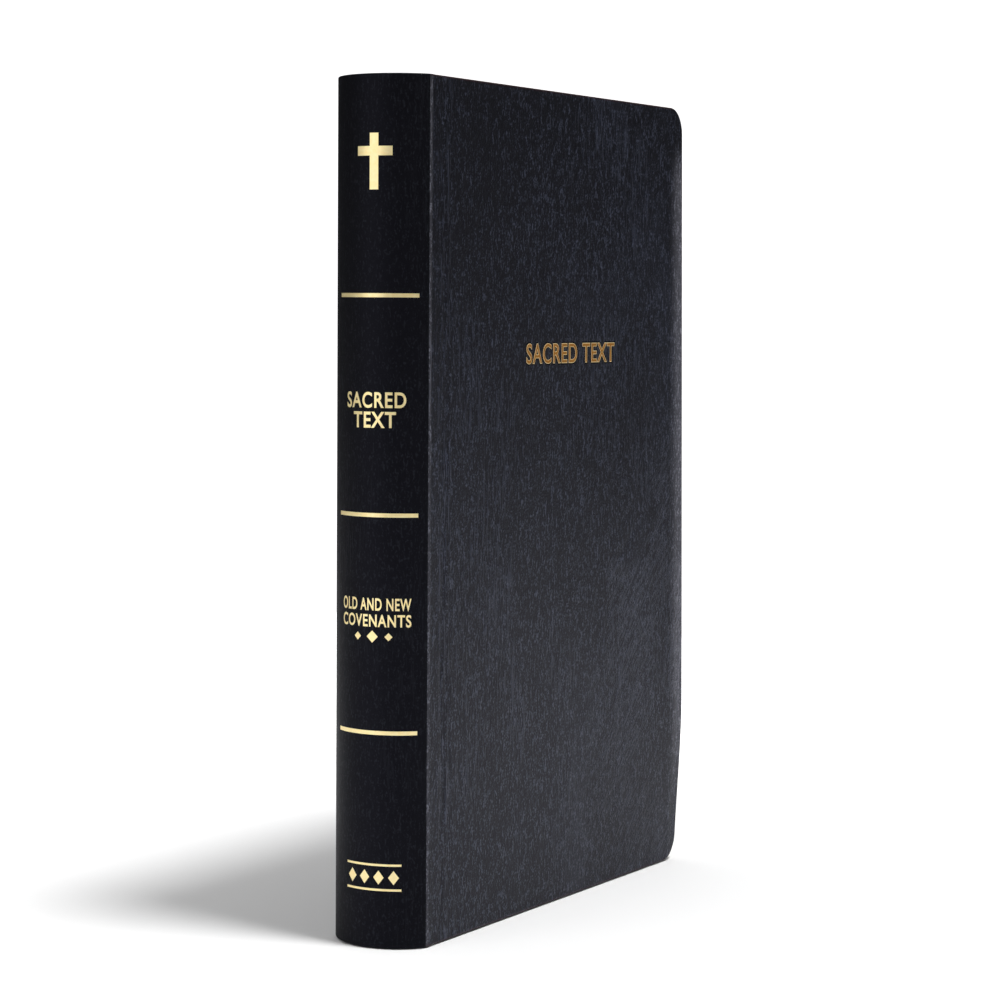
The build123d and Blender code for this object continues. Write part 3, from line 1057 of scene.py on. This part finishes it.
def title_layer(name, weight, spread, proud, material):
    """The title as a thin solid that stands proud of the front cover's skin."""
    mesh = word_mesh("SACRED TEXT", weight)
    flat = points_of(mesh)
    points = np.column_stack([
        TITLE_CENTRE[0] + flat[:, 0] * (TITLE_SIZE[0] + spread),
        -(HALF_THICKNESS - REST_DEPTH + proud - FOIL_THICKNESS * (0.5 - flat[:, 2])),
        TITLE_CENTRE[1] + flat[:, 1] * (TITLE_SIZE[1] + spread),
    ])
    mesh.vertices.foreach_set("co", (points * MM).ravel())
    store_place(mesh, points)
    bow_mesh(mesh, FRONT)
    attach(finish_mesh(name, mesh, material), "front_cover")
    print(name, "faces:", len(mesh.polygons))


# Painted shadow: a near-black line round each letter.
title_layer(
    "front_title_painted_shadow", 0.05, 0.75, 0.012, title_shadow_leather
)
# Painted highlight: a pale lip at the edge of each stroke.
title_layer("front_title_painted_highlight", 0.024, 0.05, 0.024, highlight_title_foil)
# Painted shade: the darker gold of each stroke's middle.
title_layer("front_title_foil", 0.006, -0.25, 0.036, shaded_title_foil)

# %% [markdown]
# ## Sheets that bend at the hinge
# The pastedown is glued to the cover and crosses the hinge with it. The flyleaf is the other half
# of the same endpaper. Both are drawn as flat sheets with closely spaced columns where they bend.
# The thin board in the cover's pocket is a sheet too, because it bows with its cover.

# %% Endpapers
COLUMNS_BEFORE, COLUMNS_IN_BEND, COLUMNS_AT_CORNER = 5, 12, 7


def sheet_mesh(x_span, z_span, y_span, corner, bend_x, bend_length, flat_columns=3, rows=2):
    """A flat sheet with rounded corners at the fore edge, and fine columns where it bends."""
    (x_start, x_end), (tail, head) = x_span, z_span
    before = np.linspace(x_start, bend_x, COLUMNS_BEFORE + 1)[:-1]
    bend = np.linspace(bend_x, bend_x + bend_length, COLUMNS_IN_BEND + 1)
    after = np.linspace(bend[-1], x_end - corner, flat_columns + 1)[1:]
    round_end = x_end - corner + corner * np.sin(np.linspace(0, pi / 2, COLUMNS_AT_CORNER + 1)[1:])
    x = np.concatenate([before, bend, after, round_end])
    inside = np.clip(x - (x_end - corner), 0, corner)
    inset = corner - np.sqrt(np.maximum(corner**2 - inside**2, 0))
    inset[-1] = corner - 0.01
    up = np.linspace(0, 1, rows)[:, None]
    z = (tail + inset) * (1 - up) + (head - inset) * up
    x = np.broadcast_to(x, z.shape)
    faces = [np.stack([x, np.full(x.shape, y), z], -1) for y in y_span]
    places = np.stack([x, np.full(x.shape, y_span[0]), z], -1)
    return close_grids(faces[0], faces[1], places)


FLYLEAF_BEND, SIGNATURE_BEND = 16.0, 18.0
BOWED_ROWS = 24


def bowed_sheet(node, name, material, side, bend_x, bend_length, columns):
    """A sheet in the pocket of a cover, in place of the node, that bows with the cover."""
    low, high = box_mm(node)
    mesh = sheet_mesh(
        (low[0], high[0]), (low[2], high[2]), (low[1], high[1]), POCKET_CORNER_RADIUS,
        low[0] + bend_x, bend_length, flat_columns=columns, rows=BOWED_ROWS,
    )
    bow_mesh(mesh, side)
    sheet = finish_mesh(name, mesh, material)
    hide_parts(node)
    return sheet


for end, side in (("front", FRONT), ("back", BACK)):
    cover, leaf = f"{end}_cover", f"{end}_flyleaf"
    sheet = bowed_sheet(
        f"{end}_pastedown", f"{end}_pastedown_sheet", endpaper, side,
        bend_x=0.05, bend_length=COVER_BEND + 0.5, columns=24,
    )
    bend_at(sheet)
    board = bowed_sheet(
        f"{cover}_board", f"{cover}_board_sheet", greyboard, side,
        bend_x=1.0, bend_length=12.0, columns=20,
    )
    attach(board, cover)

    low, high = box_mm(leaf)
    stub_low, _ = box_mm(f"{leaf}_stub")
    mesh = sheet_mesh(
        (stub_low[0], high[0]), (low[2], high[2]), (low[1], high[1]), PAGE_CORNER_RADIUS,
        joint_place(f"{leaf}_turn")[0] / MM, FLYLEAF_BEND,
    )
    sheet = finish_mesh(f"{leaf}_sheet", mesh, endpaper)
    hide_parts(leaf, f"{leaf}_stub")
    bend_at(sheet)
    print(sheet.name, "faces:", len(mesh.polygons))

# %% [markdown]
# ## Signatures
# The text block is eighteen folded signatures, sewn through their folds. Rounding the spine
# pushes the middle ones back, and the fore edge hollows by the same amount, because every leaf
# has the same width. Geometry Nodes stack the leaves: each leaf is the same sheet, moved along by
# one thickness, drawn back at the fold so that the fold is round, and shifted at the fore edge so
# that it lies on the hollow curve. A leaf here stands for about three thin ones.

# %% Starting and ending a node tree


def start_tree(name, **kinds):
    """A Geometry Nodes tree with named inputs: kinds gives the sockets' names by their kind."""
    tree = bpy.data.node_groups.new(name, "GeometryNodeTree")
    for kind, names in kinds.items():
        for socket in names:
            tree.interface.new_socket(socket, in_out="INPUT", socket_type=f"NodeSocket{kind}")
    tree.interface.new_socket("Geometry", in_out="OUTPUT", socket_type="NodeSocketGeometry")
    return tree, add_node(tree, "NodeGroupInput").outputs


def stand_on_points(tree, points, instance, name, value, rotation=(0.0, 0.0, 0.0)):
    """Stands one shape on each point, and stores a value on each copy."""
    copies = add_node(
        tree, "GeometryNodeInstanceOnPoints",
        links={"Points": points, "Instance": instance, "Rotation": rotation},
    )
    return add_node(
        tree, "GeometryNodeStoreNamedAttribute", {"data_type": "FLOAT", "domain": "INSTANCE"},
        {"Geometry": copies.outputs[0], "Name": name, "Value": value},
    ).outputs[0]


def end_tree(tree, geometry, material):
    coloured = add_node(
        tree, "GeometryNodeSetMaterial", links={"Geometry": geometry, "Material": material}
    )
    add_node(tree, "NodeGroupOutput", links={"Geometry": coloured.outputs[0]})
    return tree


# %% [markdown]
# The flat leaf comes with two stored values: how near each point is to the fold, and how near to
# the fore edge. The tree moves the points by those shares, so that the flat part stays flat.

# %% Leaf stack
LEAVES = 12


def leaf_stack_tree():
    tree, given = start_tree(
        "leaf_stack", Geometry=["Leaf"], Int=["Leaves", "Seed"], Material=["Paper"],
        Float=["First Leaf Y", "Leaf Pitch", "Middle Y", "Fold Radius", "Block Radius",
               "Unevenness"],
    )

    def half_chord(radius, offset):
        """How far a circle reaches at that offset from its middle."""
        squares = [combine(tree, "MULTIPLY", side, side) for side in (radius, offset)]
        left = combine(tree, "MAXIMUM", combine(tree, "SUBTRACT", *squares), 0.0)
        return add_node(tree, "ShaderNodeMath", {"operation": "SQRT"}, {0: left}).outputs[0]

    def stored(name):
        return add_node(
            tree, "GeometryNodeInputNamedAttribute", {"data_type": "FLOAT"}, {"Name": name}
        ).outputs[0]

    start = add_node(tree, "ShaderNodeCombineXYZ", links={"Y": given["First Leaf Y"]})
    offset = add_node(tree, "ShaderNodeCombineXYZ", links={"Y": given["Leaf Pitch"]})
    row = add_node(
        tree, "GeometryNodeMeshLine",
        links={"Count": given["Leaves"], "Start Location": start.outputs[0],
               "Offset": offset.outputs[0]},
    )
    tone = add_node(
        tree, "FunctionNodeRandomValue", {"data_type": "FLOAT"}, {"Seed": given["Seed"]}
    )
    stack = stand_on_points(tree, row.outputs[0], given["Leaf"], "leaf_tone", tone.outputs[1])
    real = add_node(tree, "GeometryNodeRealizeInstances", links={"Geometry": stack})

    place = add_node(tree, "GeometryNodeInputPosition").outputs[0]
    depth = add_node(tree, "ShaderNodeSeparateXYZ", links={"Vector": place}).outputs["Y"]
    from_middle = combine(tree, "SUBTRACT", depth, given["Middle Y"])
    drawn_back = combine(
        tree, "SUBTRACT", given["Fold Radius"], half_chord(given["Fold Radius"], from_middle)
    )
    hollow = combine(
        tree, "SUBTRACT", half_chord(given["Block Radius"], given["Middle Y"]),
        half_chord(given["Block Radius"], depth),
    )
    short = combine(tree, "SUBTRACT", stored("leaf_tone"), 1.0)
    uneven = combine(tree, "MULTIPLY", short, given["Unevenness"])
    at_fold = combine(tree, "MULTIPLY", drawn_back, stored("near_fold"))
    at_edge = combine(
        tree, "MULTIPLY", combine(tree, "ADD", hollow, uneven), stored("near_fore_edge")
    )
    shift = add_node(
        tree, "ShaderNodeCombineXYZ", links={"X": combine(tree, "ADD", at_fold, at_edge)}
    )
    moved = add_node(
        tree, "GeometryNodeSetPosition",
        links={"Geometry": real.outputs[0], "Offset": shift.outputs[0]},
    )
    return end_tree(tree, moved.outputs[0], given["Paper"])


# %% [markdown]
# A tree runs as a modifier. Its result is taken off as a plain mesh, and the modifier goes.

# %% Running a tree


def grown(name, base_mesh, tree, inputs):
    """Runs a node tree on a mesh with named inputs, and gives the result as a plain mesh."""
    carrier = bpy.data.objects.new(name, base_mesh)
    bpy.context.scene.collection.objects.link(carrier)
    modifier = carrier.modifiers.new("grow", "NODES")
    modifier.node_group = tree
    for item in tree.interface.items_tree:
        if item.in_out == "INPUT" and item.name in inputs:
            modifier[item.identifier] = inputs[item.name]
    bpy.context.view_layer.update()
    grown_mesh = bpy.data.meshes.new_from_object(
        carrier.evaluated_get(bpy.context.evaluated_depsgraph_get())
    )
    carrier.modifiers.clear()
    bpy.data.objects.remove(carrier)
    return grown_mesh


# %% [markdown]
# Each signature gets its own flat leaf, because the middle ones reach further back.

# %% Signatures
leaf_tree = leaf_stack_tree()
SIGNATURES = [f"signature_{number:02d}" for number in range(1, 19)]
BLOCK_HALF = folds_high[1]
OUTER_REACH = sqrt(FOLD_RADIUS**2 - BLOCK_HALF**2)
OUTER_EDGE_X = box_mm("signature_01")[1][0]
FOLD_ZONE = 3.0  # the leaves are drawn together over this length at the fold
SHEET_SHARE, AIR_BELOW = 0.82, 0.09  # of a leaf's pitch: its own thickness, and the gap under it
FOLD_PLAY = 1.02  # keeps the outermost leaf off the very end of the fold's circle


def signature(number, node):
    low, high = box_mm(node)
    middle = (low[1] + high[1]) / 2
    fold_radius = (high[1] - low[1]) / 2
    reach = sqrt(FOLD_RADIUS**2 - middle**2)
    back_x = SPINE_CENTRE_X - reach
    pivot_x = joint_place(f"{node}_turn")[0] / MM
    pitch = 2 * fold_radius / LEAVES
    leaf = sheet_mesh(
        (back_x, OUTER_EDGE_X - (reach - OUTER_REACH)), (PAGE_TAIL, PAGE_HEAD),
        (0.0, SHEET_SHARE * pitch), PAGE_CORNER_RADIUS, pivot_x, SIGNATURE_BEND,
    )
    x = points_of(leaf)[:, 0] / MM
    store_values(
        leaf, near_fold=1 - smooth_step(x, back_x, back_x + FOLD_ZONE),
        near_fore_edge=smooth_step(x, pivot_x + SIGNATURE_BEND, x.max() - PAGE_CORNER_RADIUS),
    )
    mesh = grown(node, leaf, leaf_tree, {
        "First Leaf Y": (low[1] + AIR_BELOW * pitch) * MM, "Leaf Pitch": pitch * MM,
        "Middle Y": middle * MM, "Fold Radius": fold_radius * FOLD_PLAY * MM,
        "Block Radius": FOLD_RADIUS * MM, "Unevenness": 0.12 * MM,
        "Leaves": LEAVES, "Seed": number, "Paper": bible_paper,
    })
    piece = finish_mesh(f"{node}_leaves", mesh, bible_paper)
    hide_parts(node, "signature_folds")
    bend_at(piece)
    return piece


signatures = [signature(number, node) for number, node in enumerate(SIGNATURES)]
print("signature faces:", [len(piece.data.polygons) for piece in signatures[:3]])

# %% [markdown]
# ## Head and tail bands
# A band is a cord wrapped with cotton in two colours, glued to the ends of the block's back. It
# hides the folds and fills the gap under the leather. The wraps follow the round of the back.

# %% Wrapped band
WRAP_PITCH, WRAP_THREAD = 0.36, 0.17
STRIPE_REPEAT, STRIPE_WRAPS = 6.0, 2.5  # wraps from one dark stripe to the next, and in a stripe
RING_SINK, END_ANGLE = 0.02, 0.012  # the rings bite into the core, and stop short of its ends


def ring_mesh(major, minor, around=14, across=6):
    """A ring in the plane across the third axis, in metres."""
    a = np.linspace(0, 2 * pi, around, endpoint=False)[:, None]
    b = np.linspace(0, 2 * pi, across, endpoint=False)[None, :]
    reach = major + minor * np.cos(b)
    points = np.stack(
        [reach * np.cos(a), reach * np.sin(a), np.broadcast_to(minor * np.sin(b), (around, across))],
        -1,
    ).reshape(-1, 3)
    index = np.arange(around * across).reshape(around, across)
    next_a, next_b = np.roll(index, -1, 0), np.roll(index, -1, 1)
    faces = np.stack([index, next_a, np.roll(next_a, -1, 1), next_b], -1).reshape(-1, 4)
    mesh = bpy.data.meshes.new("ring")
    mesh.from_pydata((points * MM).tolist(), [], faces.tolist())
    return mesh


def band_tree():
    tree, given = start_tree(
        "wrapped_band", Geometry=["Ring"], Float=["Radius", "Half Angle", "Core Radius"],
        Vector=["Centre"], Int=["Wraps"], Material=["Cotton"],
    )
    arc = add_node(
        tree, "GeometryNodeCurveArc", {"mode": "RADIUS"},
        {"Resolution": 64, "Radius": given["Radius"],
         "Start Angle": combine(tree, "SUBTRACT", pi, given["Half Angle"]),
         "Sweep Angle": combine(tree, "MULTIPLY", given["Half Angle"], 2.0)},
    )
    placed = add_node(
        tree, "GeometryNodeTransform",
        links={"Geometry": arc.outputs[0], "Translation": given["Centre"]},
    )
    points = add_node(
        tree, "GeometryNodeCurveToPoints", {"mode": "COUNT"},
        {"Curve": placed.outputs[0], "Count": given["Wraps"]},
    )
    index = add_node(tree, "GeometryNodeInputIndex").outputs[0]
    in_repeat = combine(tree, "MODULO", index, STRIPE_REPEAT)
    rings = stand_on_points(
        tree, points.outputs["Points"], given["Ring"], "stripe",
        combine(tree, "LESS_THAN", in_repeat, STRIPE_WRAPS), points.outputs["Rotation"],
    )
    circle = add_node(
        tree, "GeometryNodeCurvePrimitiveCircle", {"mode": "RADIUS"},
        {"Resolution": 16, "Radius": given["Core Radius"]},
    )
    core = add_node(
        tree, "GeometryNodeCurveToMesh",
        links={"Curve": placed.outputs[0], "Profile Curve": circle.outputs[0], "Fill Caps": True},
    )
    both = add_node(tree, "GeometryNodeJoinGeometry")
    for geometry in (rings, core.outputs[0]):
        tree.links.new(geometry, both.inputs[0])
    real = add_node(tree, "GeometryNodeRealizeInstances", links={"Geometry": both.outputs[0]})
    return end_tree(tree, real.outputs[0], given["Cotton"])


# %% [markdown]
# The cotton is the sewing thread's, dyed dark wherever a wrap belongs to a stripe. Each band's
# size comes from its solid, and the number of wraps from the length of its arc.

# %% Two bands
band_cotton, tree, surface, thread = waves_material(
    "band_cotton", "#b8ae98", "#f2ecdf", [("Z", 0.12, 0.7)], 0.03
)
stripe = add_node(tree, "ShaderNodeAttribute", {"attribute_name": "stripe"}).outputs["Fac"]
cover_colour(tree, surface, thread, stripe, "#16171c")
wrapped_band = band_tree()
for node in ("head_band", "tail_band"):
    low, high = box_mm(node)
    band_radius = (high[2] - low[2]) / 2
    path_radius = SPINE_CENTRE_X - low[0] - band_radius
    half_angle = asin(high[1] / (path_radius + band_radius))
    wraps = int(2 * half_angle * path_radius / WRAP_PITCH)
    ring = ring_mesh(band_radius - WRAP_THREAD - RING_SINK, WRAP_THREAD)
    mesh = grown(node, ring, wrapped_band, {
        "Radius": path_radius * MM, "Half Angle": half_angle - END_ANGLE,
        "Core Radius": (band_radius - WRAP_THREAD) * MM,
        "Centre": (SPINE_CENTRE_X * MM, 0.0, (low[2] + high[2]) / 2 * MM),
        "Wraps": wraps, "Cotton": band_cotton,
    })
    band = finish_mesh(f"{node}_wraps", mesh, band_cotton)
    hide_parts(node)
    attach(band, "book_spine")
    print(node, "wraps:", wraps, "faces:", len(band.data.polygons))

# %% [markdown]
# ## Layers under the leather
# The rules, inlay, lining, gauze, glue and thread keep their solid shapes. They get their real
# materials, for whoever opens the book wide or takes it apart.

# %% Materials of the inner solids
for node, material in {
    "spine_rules": gold_foil, "spine_inlay": kraft_paper, "spine_lining_paper": kraft_paper,
    "spine_mull": mull_gauze, "spine_adhesive": adhesive_film, "sewing_thread": linen_thread,
}.items():
    for material_slot in frame["nodes"][node].material_slots:
        material_slot.material = material
    print(node, "is", material.name)

# %% [markdown]
# ## Camera
# A long lens stands low, to the left of the front cover, so that spine and cover both show.

# %% Camera
CAMERA_PLACE = Vector((-636.57, -372.11, 157.6)) * MM
LENS, SENSOR = 100.24, 36.0
YAW, PITCH, ROLL = radians(59.43), radians(3.981), radians(0.406)
forward = Vector((sin(YAW) * cos(PITCH), cos(YAW) * cos(PITCH), -sin(PITCH)))
right = forward.cross(Vector((0, 0, 1))).normalized()
upright = right.cross(forward)
camera_right = cos(ROLL) * right + sin(ROLL) * upright
camera_up = -sin(ROLL) * right + cos(ROLL) * upright
camera_data = bpy.data.cameras.new("camera")
camera_data.lens, camera_data.sensor_width = LENS, SENSOR
camera = bpy.data.objects.new("camera", camera_data)
turn = Matrix((camera_right, camera_up, -forward)).transposed().to_4x4()
camera.matrix_world = Matrix.Translation(CAMERA_PLACE) @ turn
bpy.context.scene.collection.objects.link(camera)
bpy.context.scene.camera = camera
print("camera stands at, m:", np.round(camera.location, 3))

# %% [markdown]
# ## Studio
# The floor is plain white and the book stands in a white surrounding. A soft light overhead, on
# the front cover's side, throws a shadow behind the book. The room itself is dim, so the leather
# stays black.

# %% Floor and surroundings
FLOOR_SIZE, FLOOR_LEVEL, SURROUNDINGS_RADIUS = 1.1, -0.0002, 3.0  # metres
# Painted light: how strongly the floor glows, and where its glow begins and is full, in metres.
FLOOR_GLOW, GLOW_FROM, GLOW_FULL = 0.75, 0.10, 0.40


def plain_white(name, glow):
    material, tree, surface = start_material(name, Roughness=0.9, Specular_IOR_Level=0.1)
    surface.inputs["Base Color"].default_value = linear("#f4f4f4")
    surface.inputs["Emission Color"].default_value = (1, 1, 1, 1)
    surface.inputs["Emission Strength"].default_value = glow
    return material, tree, surface


def stage(name, shape, material, level=0.0):
    """Puts a shape in the studio, as a thing that isn't part of the book."""
    mesh = bpy.data.meshes.new(name)
    shape.to_mesh(mesh)
    shape.free()
    mesh.materials.append(material)
    thing = bpy.data.objects.new(name, mesh)
    thing.location.z = level
    bpy.context.scene.collection.objects.link(thing)
    return thing


# The floor glows from some way off the book, which is painted light: it keeps the floor white far
# off and fades the far end of the book's shadow.
floor_white, tree, surface = plain_white("studio_floor", 0.0)
from_book = add_node(
    tree, "ShaderNodeVectorMath", {"operation": "LENGTH"},
    {0: add_node(tree, "ShaderNodeTexCoord").outputs["Object"]},
)
glow = above(tree, from_book.outputs["Value"], GLOW_FROM, GLOW_FULL, FLOOR_GLOW)
tree.links.new(glow, surface.inputs["Emission Strength"])
shape = bmesh.new()
bmesh.ops.create_grid(shape, x_segments=1, y_segments=1, size=FLOOR_SIZE / 2)
stage("floor", shape, floor_white, FLOOR_LEVEL)

# The white surroundings are seen, but give no light: the lamps and the dim room do that.
shape = bmesh.new()
bmesh.ops.create_uvsphere(shape, u_segments=48, v_segments=24, radius=SURROUNDINGS_RADIUS)
dome = stage("surroundings", shape, plain_white("studio_surroundings", 1.0)[0])
dome.visible_diffuse = dome.visible_glossy = dome.visible_shadow = False
print("studio floor, m:", FLOOR_SIZE, "surroundings radius, m:", SURROUNDINGS_RADIUS)

# %% [markdown]
# All three lights are soft discs. The overhead one is the smallest, because its size sets how
# soft the shadow's edge is. The others are wide, and only lift what it leaves dark.

# %% Lights
# Each light: its place and target in metres, its size in metres, and its power in watts.
for name, place, target, size, power in (
    ("overhead", (-0.05, -0.5, 1.5), (0, 0, 0.05), 0.34, 20),
    ("fill", (0.3, 0.3, 2.2), (0.1, 0.1, 0), 2.6, 26),
    ("spine_glow", (-1.0, 0.35, 0.35), (-0.07, 0, 0.11), 0.8, 3.0),
):
    light = bpy.data.lights.new(name, "AREA")
    light.shape, light.size, light.energy = "DISK", size, power
    lamp = bpy.data.objects.new(name, light)
    lamp.location = place
    lamp.rotation_euler = (Vector(target) - Vector(place)).to_track_quat("-Z", "Y").to_euler()
    bpy.context.scene.collection.objects.link(lamp)
    print(name, "watts:", power)

world = bpy.data.worlds.new("room")
world.use_nodes = True
world.node_tree.nodes["Background"].inputs["Color"].default_value = (1, 1, 1, 1)
world.node_tree.nodes["Background"].inputs["Strength"].default_value = 0.05
bpy.context.scene.world = world
bpy.context.scene.view_settings.view_transform = "Standard"
